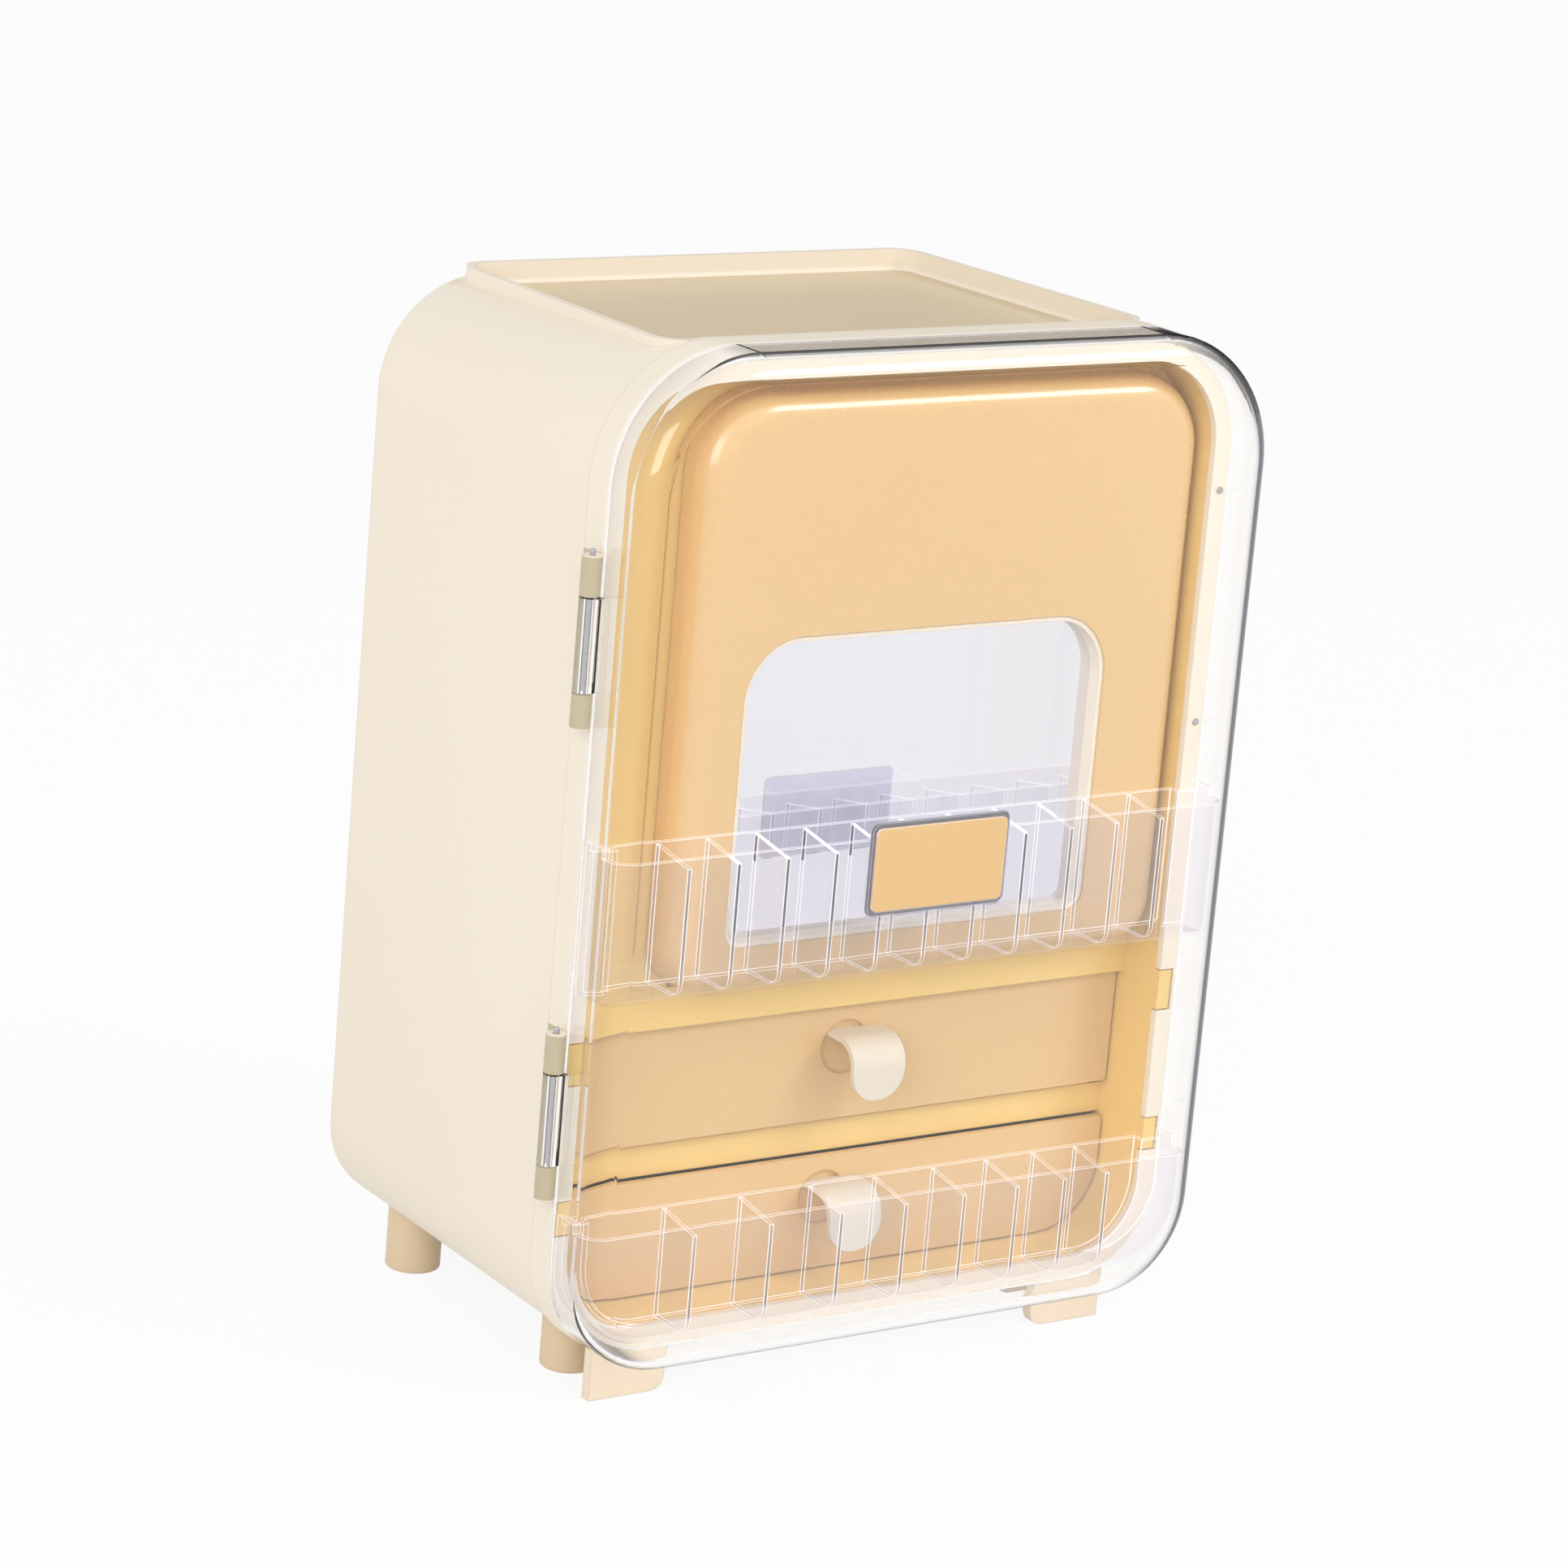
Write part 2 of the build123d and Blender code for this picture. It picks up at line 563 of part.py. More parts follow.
def drawer_box(z0, z1, r_bottom):
    """Open box behind the front plate."""
    y0 = DRAWER_FRONT_Y + DRAWER_FRONT_THICK
    w = DRAWER_WALL
    box = prism(DRAWER_BOX_HALF, z0, z1, 0, r_bottom, y0 - 0.2, DRAWER_REAR)
    hollow = prism(DRAWER_BOX_HALF - w, z0 + w, z1 + 10, 0, max(r_bottom - w, 1.5), y0, DRAWER_REAR - w)
    return box - hollow


def upper_drawer():
    """Amber drawer above the drawer shelf."""
    z0, z1 = UPPER_FRONT_Z
    floor = DRAWER_SHELF_Z + RUN_CLEARANCE
    front = drawer_front(z0, z1, 1.5, UPPER_PULL_X)
    return front + drawer_box(floor, z1 - BOX_UNDER_TOP, 2.0) - pull_slot(UPPER_PULL_X, z1)


def lower_drawer():
    """Amber drawer whose front follows the round bottom corners of the frame."""
    z0, z1 = LOWER_FRONT_Z
    corner = BOTTOM_RADIUS - RIM_SIDE - 1.2
    front = drawer_front(z0, z1, corner, LOWER_PULL_X)
    box = drawer_box(lower_box_floor(), z1 - BOX_UNDER_TOP, LOWER_BOX_R)
    return front + box - pull_slot(LOWER_PULL_X, z1)


def pull_slot(x, z1):
    """Slot through the front plate for the strap's root."""
    root = z1 - PULL_UNDER_TOP
    rear = DRAWER_FRONT_Y + DRAWER_FRONT_THICK + 0.1
    return block(x - PULL_HALF, x + PULL_HALF, DRAWER_FRONT_Y - 1, rear, root - PULL_THICK, root)


def drawer_pull(x, z1):
    """Curved strap with a round tip; its root passes the slot and ends in a flat stop."""
    root = z1 - PULL_UNDER_TOP
    y1 = DRAWER_FRONT_Y + DRAWER_FRONT_THICK
    y0 = DRAWER_FRONT_Y - PULL_REACH
    t = PULL_THICK
    corners = [(y1 + 0.1, root), (y0, root), (y0, root - PULL_DROP), (y0 + t, root - PULL_DROP),
               (y0 + t, root - t), (y1 + 0.1, root - t)]
    face = make_face(Polyline(*corners, close=True))
    bend = face.vertices().filter_by(lambda v: abs(v.X - y0) < 0.01 and abs(v.Y - root) < 0.01)
    face = fillet(bend, 9.0)
    inside = face.vertices().filter_by(lambda v: abs(v.X - y0 - t) < 0.01 and abs(v.Y - root + t) < 0.01)
    face = fillet(inside, 9.0 - t)
    strap = extrude(Plane.YZ * face, PULL_HALF, both=True)
    tip = strap.edges().filter_by(Axis.Y).group_by(Axis.Z)[0]
    strap = fillet(tip, PULL_HALF - 0.6)
    return Pos(x, 0, 0) * (strap + block(-PULL_HALF, PULL_HALF, y1, y1 + 2, root - 5, root + 2))


def round_feet():
    """Four round feet cut to the underside of the case."""
    body = case_body()
    feet = []
    for y in (FOOT_FRONT_Y, CASE_DEPTH - FOOT_BEHIND):
        foot = rod(HALF - FOOT_IN, y, -FOOT_HEIGHT, FOOT_RADIUS, FOOT_RADIUS)
        foot = fillet(foot.edges().sort_by(Axis.Z)[0], 1.0)
        feet += mirrored(foot - body)
    return feet


def front_feet():
    """Two flat feet under the front frame."""
    frame = case_prism(0, -1, FRAME_DEPTH + 1)
    x1 = HALF - FRONT_FOOT_IN
    foot = block(x1 - FRONT_FOOT_WIDE, x1, FRONT_FOOT_Y, FRONT_FOOT_Y + FRONT_FOOT_THICK,
                 -FOOT_HEIGHT, FOOT_RADIUS)
    inner_edge = foot.edges().filter_by(Axis.Y).sort_by(lambda e: e.center().X + e.center().Z)[0]
    foot = fillet(inner_edge, FRONT_FOOT_R)
    return mirrored(foot - frame)


UPPER_HINGE = hinge_levels(CASE_HEIGHT - UPPER_HINGE_DOWN)
LOWER_HINGE = hinge_levels(LOWER_HINGE_Z)
lower_tray_r = BOTTOM_RADIUS - RIM_SIDE - 1.5
upper_floor = UPPER_TRAY_Z[0] + DOOR_TRAY_WALL
lower_floor = LOWER_TRAY_Z[0] + DOOR_TRAY_WALL

save("case_shell", case_shell())
save("front_frame", front_frame())
save("hinge_pin_upper", hinge_pin(UPPER_HINGE))
save("hinge_pin_lower", hinge_pin(LOWER_HINGE))
save("inner_cabinet", inner_cabinet())
save("face_frame", face_frame())
save("bin_shelf", bin_shelf())
save("drawer_shelf", drawer_shelf())
save("round_feet", round_feet())
save("front_feet", front_feet())
save("catch_pins", [cross_rod(x, z, -CATCH_PROUD, RIM_THICK - 0.8, CATCH_R) for x, z in catch_places()])

save("door_panel", door_panel())
save("upper_door_tray", door_tray(*UPPER_TRAY_Z, 2.0))
save("lower_door_tray", door_tray(*LOWER_TRAY_Z, lower_tray_r))
save("upper_tray_dividers", [divider(x, upper_floor, UPPER_TRAY_Z[1]) for x in upper_divider_places()])
save("lower_tray_dividers", [divider(x, lower_floor, LOWER_TRAY_Z[1]) for x in lower_divider_places()])
save("name_plate_frame", name_plate_frame())
save("name_plate", name_plate())

save("mirror_bin", mirror_bin())
save("bin_front", bin_front())
save("mirror_bezel", mirror_bezel())
save("mirror_glass", mirror_glass())
save("upper_drawer", upper_drawer())
save("upper_drawer_pull", drawer_pull(UPPER_PULL_X, UPPER_FRONT_Z[1]))
save("lower_drawer", lower_drawer())
save("lower_drawer_pull", drawer_pull(LOWER_PULL_X, LOWER_FRONT_Z[1]))
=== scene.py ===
import math

import bpy
import numpy as np
from mathutils import Matrix, Vector


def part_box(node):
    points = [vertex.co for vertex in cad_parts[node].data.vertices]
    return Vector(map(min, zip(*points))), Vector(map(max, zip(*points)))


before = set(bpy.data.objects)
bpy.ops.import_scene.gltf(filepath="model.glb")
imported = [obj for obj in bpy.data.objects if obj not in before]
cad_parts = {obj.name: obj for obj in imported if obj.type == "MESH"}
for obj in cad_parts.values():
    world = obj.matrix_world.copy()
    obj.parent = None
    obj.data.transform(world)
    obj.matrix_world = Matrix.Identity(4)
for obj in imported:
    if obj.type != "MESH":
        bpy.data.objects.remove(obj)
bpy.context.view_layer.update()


# Front frame: the rim that snaps over the case's mouth and carries the hinge knuckles. It is cream
# ABS, injection moulded with a fine satin skin. The knuckles, which stand proud of the case's side
# along the run of each hinge pin, get a greyer cream as painted shade.
def linear(hex_code):
    """sRGB hex to linear RGB: (v / 12.92) below 0.04045, ((v + 0.055) / 1.055) ^ 2.4 above."""
    v = np.array([int(hex_code[i:i + 2], 16) for i in (0, 2, 4)]) / 255.0
    rgb = np.where(v <= 0.04045, v / 12.92, ((v + 0.055) / 1.055) ** 2.4)
    return (*rgb.tolist(), 1.0)


def add_node(owner, kind, settings=None, links=None):
    """Adds one node to a material or the world, sets its properties or inputs, and links its inputs."""
    tree = owner.node_tree
    node = tree.nodes.new(kind)
    for key, value in (settings or {}).items():
        if isinstance(key, int) or key in node.inputs:
            node.inputs[key].default_value = value
        else:
            setattr(node, key, value)
    for key, source in (links or {}).items():
        tree.links.new(source, node.inputs[key])
    return node


def new_material(name):
    """Empty node material."""
    material = bpy.data.materials.new(name)
    material.use_nodes = True
    material.node_tree.nodes.clear()
    return material


def moulded_plastic(name, colour, deep, roughness, grain_mm=0.9, grain=0.02, coat=0.0,
                    coat_roughness=0.08):
    """Opaque moulded plastic: its colour drifts over about 110 mm, with a fine skin and soft edges.

    The skin's grains are grain_mm across and change the roughness by 0.05 either way.
    """
    m = new_material(name)
    place = add_node(m, "ShaderNodeTexCoord")
    drift = add_node(m, "ShaderNodeTexNoise", {"Scale": 9.0, "Detail": 2.0, "Roughness": 0.4},
                     {"Vector": place.outputs["Object"]})
    tint = add_node(m, "ShaderNodeMix", {"data_type": "RGBA"}, {"Factor": drift.outputs["Fac"]})
    tint.inputs[6].default_value = linear(deep)
    tint.inputs[7].default_value = linear(colour)
    skin = add_node(m, "ShaderNodeTexNoise", {"Scale": 1000.0 / grain_mm, "Detail": 2.0},
                    {"Vector": place.outputs["Object"]})
    rough = add_node(m, "ShaderNodeMapRange", {"To Min": roughness - 0.05, "To Max": roughness + 0.05},
                     {"Value": skin.outputs["Fac"]})
    edge = add_node(m, "ShaderNodeBevel", {"samples": 4, "Radius": 0.0005})
    bump = add_node(m, "ShaderNodeBump", {"Strength": grain, "Distance": 0.0002},
                    {"Height": skin.outputs["Fac"], "Normal": edge.outputs["Normal"]})
    shader = add_node(m, "ShaderNodeBsdfPrincipled",
                      {"IOR": 1.52, "Coat Weight": coat, "Coat Roughness": coat_roughness},
                      {"Base Color": tint.outputs[2], "Roughness": rough.outputs["Result"],
                       "Normal": bump.outputs["Normal"]})
    add_node(m, "ShaderNodeOutputMaterial", links={"Surface": shader.outputs["BSDF"]})
    return m


def recolour(material, share, colour):
    """Lays a colour over a material's own, by a share from 0 to 1, and gives back its shader."""
    shader = next(n for n in material.node_tree.nodes if n.type == "BSDF_PRINCIPLED")
    base = shader.inputs["Base Color"]
    tint = add_node(material, "ShaderNodeMix", {"data_type": "RGBA"},
                    {"Factor": share, 6: base.links[0].from_socket})
    tint.inputs[7].default_value = linear(colour)
    material.node_tree.links.new(tint.outputs[2], base)
    return shader


def dress(material, *names):
    """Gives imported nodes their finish."""
    for name in names:
        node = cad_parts[name]
        if not node.material_slots:
            node.data.materials.append(material)
        for slot in node.material_slots:
            slot.material = material


CREAM = "F6EBDA"
DEEP_CREAM = "F3E7D4"
CREAM_ROUGHNESS = 0.42
frame_abs = moulded_plastic("cream_moulded_abs_with_painted_knuckle_shade", CREAM, DEEP_CREAM, CREAM_ROUGHNESS)
frame_place = add_node(frame_abs, "ShaderNodeTexCoord")
frame_spot = add_node(frame_abs, "ShaderNodeSeparateXYZ", links={0: frame_place.outputs["Object"]})
case_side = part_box("case_shell")[0][0]
KNUCKLE_FROM = 0.0002
KNUCKLE_FULL = 0.0009
PIN_TIP = 0.0022
frame_proud = add_node(frame_abs, "ShaderNodeMapRange",
                       {"From Min": case_side - KNUCKLE_FROM, "From Max": case_side - KNUCKLE_FULL},
                       {"Value": frame_spot.outputs["X"]})
pin_runs = []
for pin in ("hinge_pin_upper", "hinge_pin_lower"):
    pin_low, pin_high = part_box(pin)[0][2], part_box(pin)[1][2] - PIN_TIP
    middle, half_run = (pin_low + pin_high) / 2, (pin_high - pin_low) / 2
    pin_runs.append(add_node(frame_abs, "ShaderNodeMath", {"operation": "COMPARE", 1: middle, 2: half_run},
                             {0: frame_spot.outputs["Z"]}))
frame_hinges = add_node(frame_abs, "ShaderNodeMath", {"operation": "ADD"},
                        {0: pin_runs[0].outputs["Value"], 1: pin_runs[1].outputs["Value"]})
knuckle_painted_shade = add_node(frame_abs, "ShaderNodeMath", {"operation": "MULTIPLY"},
                         {0: frame_proud.outputs["Result"], 1: frame_hinges.outputs["Value"]})
# Painted shade: a greyer cream laid over the knuckles.
recolour(frame_abs, knuckle_painted_shade.outputs["Value"], "C4B799")
dress(frame_abs, "front_frame")


# Case shell: one deep moulding in the same cream ABS, with the tray moulded into its top. The
# tray's level floor gets a sandy colour as painted shade.
shell_abs = moulded_plastic("cream_moulded_abs_with_painted_tray_shade", CREAM, DEEP_CREAM, CREAM_ROUGHNESS)
shell_place = add_node(shell_abs, "ShaderNodeTexCoord")
shell_spot = add_node(shell_abs, "ShaderNodeSeparateXYZ", links={0: shell_place.outputs["Object"]})
shell_facing = add_node(shell_abs, "ShaderNodeSeparateXYZ", links={0: shell_place.outputs["Normal"]})
TRAY_DEEP = 0.0070
TRAY_FLOOR_OVER = 0.0005
TRAY_FLOOR_CLEAR = 0.0012
tray_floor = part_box("case_shell")[1][2] - TRAY_DEEP
shell_low = add_node(shell_abs, "ShaderNodeMapRange",
                     {"From Min": tray_floor + TRAY_FLOOR_OVER, "From Max": tray_floor + TRAY_FLOOR_CLEAR,
                      "To Min": 1.0, "To Max": 0.0}, {"Value": shell_spot.outputs["Z"]})
shell_level = add_node(shell_abs, "ShaderNodeMapRange", {"From Min": 0.9, "From Max": 0.98},
                       {"Value": shell_facing.outputs["Z"]})
tray_floor_painted_shade = add_node(shell_abs, "ShaderNodeMath", {"operation": "MULTIPLY"},
                       {0: shell_low.outputs["Result"], 1: shell_level.outputs["Result"]})
# Painted shade: the tray's level floor is coloured a sandier cream.
recolour(shell_abs, tray_floor_painted_shade.outputs["Value"], "D9C7A6")
dress(shell_abs, "case_shell")


# Feet: four round posts under the case and two flat ones under its front edge. They are moulded in
# ABS sandier than the case; the round ones are coloured darker as painted shade.
# Painted shade: the round feet's darker sand colour.
round_foot_abs_painted_shade = moulded_plastic("sand_moulded_abs", "E7D1B0", "E3CBA7", 0.45)
dress(round_foot_abs_painted_shade, "round_feet")
flat_foot_abs = moulded_plastic("pale_sand_moulded_abs", "F4E3CB", "F0DDC3", 0.45)
dress(flat_foot_abs, "front_feet")


# Inner cabinet, shelves, face frame and bin tub: amber ABS, moulded with a smoother skin than the
# outside, so that it takes soft highlights along its bends.
amber_abs = moulded_plastic("amber_moulded_abs", "F3D183", "EFCA79", 0.3, coat=0.1)
dress(amber_abs, "inner_cabinet", "face_frame", "bin_shelf", "drawer_shelf", "mirror_bin")


# Drawers: two open boxes, each moulded in one piece from ABS of a paler amber batch than the
# cabinet round them, with the same smooth skin.
drawer_abs = moulded_plastic("pale_amber_drawer_abs", "E2BF88", "DEB980", 0.3, coat=0.1)
dress(drawer_abs, "upper_drawer", "lower_drawer")


# Bin front: the convex amber panel, polished in the mould, so it shows a band of light along
# its top bend and mirrors the clear trays faintly.
amber_gloss = moulded_plastic("amber_polished_abs", "E4BD81", "E0B777", 0.26, grain=0.006, coat=1.0,
                              coat_roughness=0.15)
dress(amber_gloss, "bin_front")


# Mirror: a silvered acrylic plate, cut with round corners, that lies 5 mm deep in the bin front.
# The lip round it is a frame moulded in the case's cream ABS.
mirror_silver = new_material("silvered_acrylic_mirror")
silver = add_node(mirror_silver, "ShaderNodeBsdfPrincipled",
                  {"Base Color": linear("ECECF2"), "Metallic": 1.0, "Roughness": 0.015})
add_node(mirror_silver, "ShaderNodeOutputMaterial", links={"Surface": silver.outputs["BSDF"]})
dress(mirror_silver, "mirror_glass")
cream_abs = moulded_plastic("cream_moulded_abs", CREAM, DEEP_CREAM, CREAM_ROUGHNESS)
dress(cream_abs, "mirror_bezel")


# Drawer pulls: a soft strap in moulded cream elastomer, riveted to each drawer's front and bent
# over. It is matt and a touch greyer than the case.
strap_tpe = moulded_plastic("cream_soft_strap", "E7DECC", "E3D8C4", 0.5, grain_mm=0.6, grain=0.05)
dress(strap_tpe, "upper_drawer_pull", "lower_drawer_pull")


# Door: clear polystyrene, crystal grade, polished in the mould. The thick walls bend what is
# seen through them; on the free side a painted grey shade darkens them where they turn away.
def clear_body(name, tint, painted_rim_shade):
    """Clear moulded plastic: refracting body, light shadow, painted grey shade on the free edge as it turns
    away.

    Faint flow waves about 45 mm long run over it.
    """
    m = new_material(name)
    place = add_node(m, "ShaderNodeTexCoord")
    flow = add_node(m, "ShaderNodeTexNoise", {"Scale": 22.0, "Detail": 1.0},
                    {"Vector": place.outputs["Object"]})
    wave = add_node(m, "ShaderNodeBump", {"Strength": 0.03, "Distance": 0.0006},
                    {"Height": flow.outputs["Fac"]})
    facing = add_node(m, "ShaderNodeSeparateXYZ", links={0: place.outputs["Normal"]})
    free_side = add_node(m, "ShaderNodeMapRange", {"From Min": 0.04, "From Max": 0.3},
                         {"Value": facing.outputs["X"]})
    grazing = add_node(m, "ShaderNodeLayerWeight", {"Blend": 0.5})
    turned = add_node(m, "ShaderNodeMapRange", {"From Min": 0.2, "From Max": 0.45},
                      {"Value": grazing.outputs["Facing"]})
    painted_rim_shade_mask = add_node(m, "ShaderNodeMath", {"operation": "MULTIPLY"},
                     {0: free_side.outputs["Result"], 1: turned.outputs["Result"]})
    # Painted shade: the glass tint turns dark grey on the free side where the walls turn away.
    glass_tint = add_node(m, "ShaderNodeMix", {"data_type": "RGBA"}, {"Factor": painted_rim_shade_mask.outputs["Value"]})
    glass_tint.inputs[6].default_value = linear(tint)
    glass_tint.inputs[7].default_value = linear(painted_rim_shade)
    body = add_node(m, "ShaderNodeBsdfPrincipled",
                    {"Roughness": 0.0, "IOR": 1.5, "Transmission Weight": 1.0},
                    {"Base Color": glass_tint.outputs[2], "Normal": wave.outputs["Normal"]})
    through = add_node(m, "ShaderNodeBsdfTransparent", {"Color": (1, 1, 1, 1)})
    path = add_node(m, "ShaderNodeLightPath")
    mix = add_node(m, "ShaderNodeMixShader", links={0: path.outputs["Is Shadow Ray"],
                                                    1: body.outputs["BSDF"],
                                                    2: through.outputs["BSDF"]})
    add_node(m, "ShaderNodeOutputMaterial", links={"Surface": mix.outputs["Shader"]})
    return m


clear_door = clear_body("clear_polystyrene_door", "FFFFFF", "2A282C")
dress(clear_door, "door_panel")


# Door trays, their dividers and the name plate's frame: the same clear polystyrene in thin
# walls, which hardly bend light. Their cut and rounded edges carry painted light lines that glow.
def clear_wall(name, haze, edge_colour, edge_mm, edge_share, painted_edge_glow, bounces, bare_after):
    """Thin clear wall: Fresnel gloss on the near face of a see-through film, painted glowing light lines on
    its edges.

    Shadows pass it, and so does light whose count of bounces of that kind is over bare_after.
    """
    m = new_material(name)
    flat = add_node(m, "ShaderNodeNewGeometry")
    round_edge = add_node(m, "ShaderNodeBevel", {"samples": 6, "Radius": edge_mm / 1000.0})
    turn = add_node(m, "ShaderNodeVectorMath", {"operation": "DOT_PRODUCT"},
                    {0: flat.outputs["Normal"], 1: round_edge.outputs["Normal"]})
    line = add_node(m, "ShaderNodeMapRange", {"From Min": 0.995, "From Max": 0.9, "To Max": edge_share},
                    {"Value": turn.outputs["Value"]})
    film = add_node(m, "ShaderNodeBsdfPrincipled",
                    {"Base Color": linear("FDFCFE"), "Roughness": 0.0, "IOR": 1.0,
                     "Transmission Weight": 1.0})
    gloss = add_node(m, "ShaderNodeBsdfPrincipled",
                     {"Base Color": linear("FAF8FB"), "Metallic": 1.0, "Roughness": 0.05})
    veil = add_node(m, "ShaderNodeFresnel", {"IOR": 1.45})
    outer = add_node(m, "ShaderNodeMath", {"operation": "SUBTRACT", 0: 1.0},
                     {1: flat.outputs["Backfacing"]})
    first = add_node(m, "ShaderNodeMath", {"operation": "ADD", 1: haze}, {0: veil.outputs["Fac"]})
    share = add_node(m, "ShaderNodeMath", {"operation": "MULTIPLY"},
                     {0: first.outputs["Value"], 1: outer.outputs["Value"]})
    wall = add_node(m, "ShaderNodeMixShader", links={0: share.outputs["Value"], 1: film.outputs["BSDF"],
                                                     2: gloss.outputs["BSDF"]})
    # Painted light: the edge lines take their pale colour and a glow from the shader, not from the lamps.
    edge = add_node(m, "ShaderNodeBsdfPrincipled",
                    {"Base Color": linear(edge_colour), "Roughness": 0.5,
                     "Emission Color": linear(edge_colour), "Emission Strength": painted_edge_glow})
    whole = add_node(m, "ShaderNodeMixShader", links={0: line.outputs["Result"], 1: wall.outputs["Shader"],
                                                      2: edge.outputs["BSDF"]})
    through = add_node(m, "ShaderNodeBsdfTransparent", {"Color": (1, 1, 1, 1)})
    path = add_node(m, "ShaderNodeLightPath")
    deep = add_node(m, "ShaderNodeMath", {"operation": "GREATER_THAN", 1: bare_after},
                    {0: path.outputs[bounces]})
    skip = add_node(m, "ShaderNodeMath", {"operation": "MAXIMUM"},
                    {0: path.outputs["Is Shadow Ray"], 1: deep.outputs["Value"]})
    lit = add_node(m, "ShaderNodeMixShader", links={0: skip.outputs["Value"],
                                                    1: whole.outputs["Shader"],
                                                    2: through.outputs["BSDF"]})
    add_node(m, "ShaderNodeOutputMaterial", links={"Surface": lit.outputs["Shader"]})
    return m


clear_tray = clear_wall("clear_polystyrene_wall", haze=0.02, edge_colour="FAF8FB", edge_mm=0.5,
                        edge_share=0.7, painted_edge_glow=0.55, bounces="Ray Depth", bare_after=8.5)
dress(clear_tray, "upper_door_tray", "lower_door_tray", "upper_tray_dividers", "lower_tray_dividers")
clear_frame = clear_wall("clear_polystyrene_plate_frame", haze=0.04, edge_colour="B9B3CC", edge_mm=0.4,
                         edge_share=0.8, painted_edge_glow=0.4, bounces="Glossy Depth", bare_after=0.5)
dress(clear_frame, "name_plate_frame")


# Name plate: bare apricot plate in its clear frame, with a lilac primer on its back and a painted
# lilac glow there that keeps it light in the mirror.
plate_enamel = moulded_plastic("apricot_enamelled_plate", "E9C38B", "E5BC82", 0.3, grain=0.01)
plate_place = add_node(plate_enamel, "ShaderNodeTexCoord")
plate_facing = add_node(plate_enamel, "ShaderNodeSeparateXYZ", links={0: plate_place.outputs["Normal"]})
plate_rear = add_node(plate_enamel, "ShaderNodeMath", {"operation": "GREATER_THAN", 1: 0.5},
                      {0: plate_facing.outputs["Y"]})
plate_inside = add_node(plate_enamel, "ShaderNodeNewGeometry")
plate_back = add_node(plate_enamel, "ShaderNodeMath", {"operation": "MAXIMUM"},
                      {0: plate_rear.outputs["Value"], 1: plate_inside.outputs["Backfacing"]})
plate_skin = recolour(plate_enamel, plate_back.outputs["Value"], "A9A7B4")
# Painted light: the plate's back glows lilac by emission, though it is no lamp.
plate_back_painted_glow = add_node(plate_enamel, "ShaderNodeMix", {"data_type": "RGBA"},
                       {"Factor": plate_back.outputs["Value"]})
plate_back_painted_glow.inputs[6].default_value = (0, 0, 0, 1)
plate_back_painted_glow.inputs[7].default_value = linear("CAC7D3")
plate_enamel.node_tree.links.new(plate_back_painted_glow.outputs[2], plate_skin.inputs["Emission Color"])
plate_skin.inputs["Emission Strength"].default_value = 1.0
dress(plate_enamel, "name_plate")


# Hinge pins and catch pins: lengths of drawn steel wire, cut and tumbled until bright. Fine rings
# from the drawing stay along them.
def bright_steel(name, colour, roughness):
    """Drawn steel with fine rings, about 0.35 mm apart, along its length."""
    m = new_material(name)
    place = add_node(m, "ShaderNodeTexCoord")
    lines = add_node(m, "ShaderNodeTexWave", {"Scale": 900.0, "Distortion": 2.0, "bands_direction": "Z"},
                     {"Vector": place.outputs["Object"]})
    rough = add_node(m, "ShaderNodeMapRange", {"To Min": roughness, "To Max": roughness + 0.12},
                     {"Value": lines.outputs["Fac"]})
    shader = add_node(m, "ShaderNodeBsdfPrincipled",
                      {"Base Color": linear(colour), "Metallic": 1.0},
                      {"Roughness": rough.outputs["Result"]})
    add_node(m, "ShaderNodeOutputMaterial", links={"Surface": shader.outputs["BSDF"]})
    return m


steel = bright_steel("drawn_steel_wire", "B9B6BA", 0.14)
dress(steel, "hinge_pin_upper", "hinge_pin_lower", "catch_pins")


# Floor: a white studio table that runs on out of view. It is matt, and seen directly, in gloss or
# through clear plastic it looks nearly even white.
def flat_sheet(name, half_side, z):
    """Level square of one face: x = u, y = v at its four corners, z constant."""
    u, v = np.meshgrid([-half_side, half_side], [-half_side, half_side])
    points = np.stack([u.ravel(), v.ravel(), np.full(u.size, z)], axis=1)
    faces = np.array([[0, 1, 3, 2]])
    mesh = bpy.data.meshes.new(name)
    mesh.from_pydata(points.tolist(), [], faces.tolist())
    sheet = bpy.data.objects.new(name, mesh)
    bpy.context.scene.collection.objects.link(sheet)
    return sheet


FLOOR_HALF_SIDE = 6.0
FLOOR_Z = -0.0002
FLOOR_WHITE = 0.9
FLOOR_GLOW_SHARE = 0.9
floor = flat_sheet("studio_floor", FLOOR_HALF_SIDE, FLOOR_Z)
white_table = new_material("white_studio_floor")
table_diffuse = add_node(white_table, "ShaderNodeBsdfDiffuse",
                         {"Color": (FLOOR_WHITE, FLOOR_WHITE, FLOOR_WHITE, 1)})
table_glow = add_node(white_table, "ShaderNodeEmission", {"Color": (1, 1, 1, 1), "Strength": 1.0})
table_path = add_node(white_table, "ShaderNodeLightPath")
table_shine = add_node(white_table, "ShaderNodeMath", {"operation": "MAXIMUM"},
                       {0: table_path.outputs["Is Glossy Ray"], 1: table_path.outputs["Is Transmission Ray"]})
table_seen = add_node(white_table, "ShaderNodeMath", {"operation": "MAXIMUM"},
                      {0: table_path.outputs["Is Camera Ray"], 1: table_shine.outputs["Value"]})
table_share = add_node(white_table, "ShaderNodeMath", {"operation": "MULTIPLY", 1: FLOOR_GLOW_SHARE},
                       {0: table_seen.outputs["Value"]})
table_mix = add_node(white_table, "ShaderNodeMixShader",
                     links={0: table_share.outputs["Value"], 1: table_diffuse.outputs["BSDF"],
                            2: table_glow.outputs["Emission"]})
add_node(white_table, "ShaderNodeOutputMaterial", links={"Surface": table_mix.outputs["Shader"]})
floor.data.materials.append(white_table)


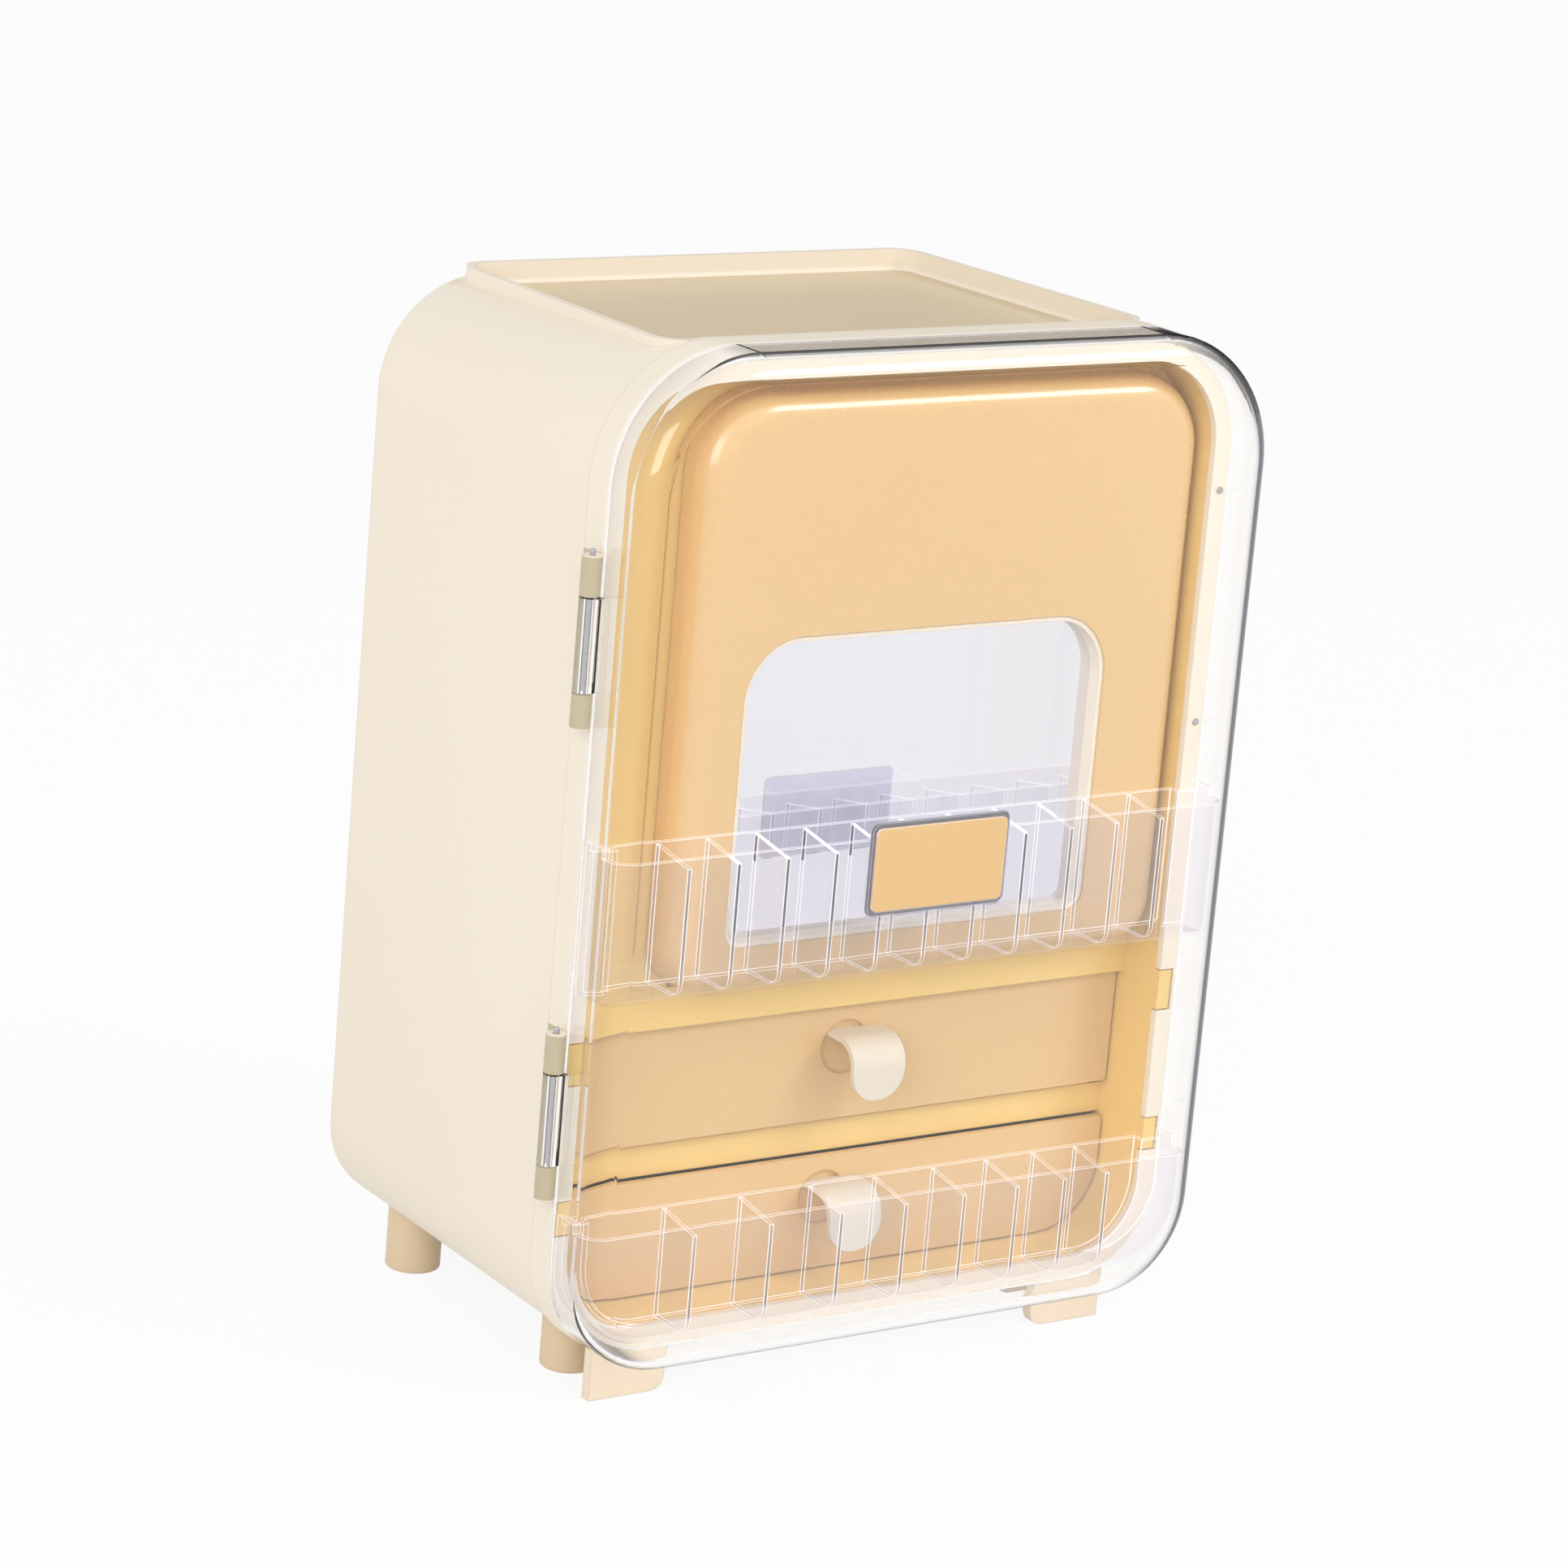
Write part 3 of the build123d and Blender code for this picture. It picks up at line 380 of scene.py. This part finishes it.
# Studio light: an even white room with a dark flag at the back right, which only gloss and clear
# plastic see and which draws the door's edges. A broad soft lamp stands at the front left, and a
# smaller one high at the front right gives the band of light on the bin front.
world = bpy.data.worlds.new("white_room")
bpy.context.scene.world = world
world.use_nodes = True
ROOM_FILL = 0.72
FLAG_WAY = (0.78, 0.6, 0.0)
FLAG_EDGE = 0.8
FLAG_CORE = 0.93
FLAG_DARK = 0.05
room_way = add_node(world, "ShaderNodeTexCoord")
room_turn = add_node(world, "ShaderNodeVectorMath", {"operation": "DOT_PRODUCT", 1: FLAG_WAY},
                     {0: room_way.outputs["Generated"]})
room_flag = add_node(world, "ShaderNodeMapRange",
                     {"From Min": FLAG_EDGE, "From Max": FLAG_CORE, "To Min": 1.0, "To Max": FLAG_DARK},
                     {"Value": room_turn.outputs["Value"]})
room_path = add_node(world, "ShaderNodeLightPath")
room_shine = add_node(world, "ShaderNodeMath", {"operation": "MAXIMUM"},
                      {0: room_path.outputs["Is Glossy Ray"], 1: room_path.outputs["Is Transmission Ray"]})
room_fill = add_node(world, "ShaderNodeMix", {"A": ROOM_FILL},
                     {"Factor": room_shine.outputs["Value"], "B": room_flag.outputs["Result"]})
room_seen = add_node(world, "ShaderNodeMix", {"B": 1.0},
                     {"Factor": room_path.outputs["Is Camera Ray"], "A": room_fill.outputs["Result"]})
room_light = world.node_tree.nodes["Background"]
room_light.inputs["Color"].default_value = (1, 1, 1, 1)
world.node_tree.links.new(room_seen.outputs["Result"], room_light.inputs["Strength"])


def soft_lamp(name, place, aim, width, height, power):
    """Area lamp of a width and height at a place, turned to its aim."""
    data = bpy.data.lights.new(name, "AREA")
    data.shape = "RECTANGLE"
    data.size = width
    data.size_y = height
    data.energy = power
    lamp = bpy.data.objects.new(name, data)
    lamp.matrix_world = (Matrix.Translation(place)
                         @ (Vector(place) - Vector(aim)).to_track_quat("Z", "Y").to_matrix().to_4x4())
    bpy.context.scene.collection.objects.link(lamp)


soft_lamp("front_left_softbox", place=(-1.9, -1.35, 1.2), aim=(0, 0, 0.17),
          width=1.4, height=1.4, power=18.5)
soft_lamp("front_right_softbox", place=(1.23, -1.39, 1.51), aim=(0, 0, 0.3),
          width=0.8, height=0.6, power=12.0)


# Camera: a long lens at the photograph's own viewing angle. Its place, turn and focal length are
# fitted to the case's straight edges.
AZIMUTH, ELEVATION, ROLL = -0.62428, 0.26141, -0.085621
CAMERA_PLACE = (-0.99334, -1.3823, 0.62885)
FOCAL_PIXELS, IMAGE_PIXELS, SENSOR_MM = 6814.9, 1932.0, 36.0
towards = np.array([math.sin(AZIMUTH) * math.cos(ELEVATION), -math.cos(AZIMUTH) * math.cos(ELEVATION),
                    math.sin(ELEVATION)])
across = np.array([math.cos(AZIMUTH), math.sin(AZIMUTH), 0.0])
down = np.cross(-towards, across)
image_x = math.cos(ROLL) * across + math.sin(ROLL) * down
image_y = -math.sin(ROLL) * across + math.cos(ROLL) * down
camera_data = bpy.data.cameras.new("photo_camera")
camera_data.sensor_width = SENSOR_MM
camera_data.lens = FOCAL_PIXELS / IMAGE_PIXELS * SENSOR_MM
camera_data.clip_end = 50.0
camera = bpy.data.objects.new("photo_camera", camera_data)
turn = Matrix([[image_x[i], -image_y[i], towards[i]] for i in range(3)])
camera.matrix_world = Matrix.Translation(CAMERA_PLACE) @ turn.to_4x4()
bpy.context.scene.collection.objects.link(camera)
bpy.context.scene.camera = camera

bpy.context.scene.view_settings.view_transform = "Standard"
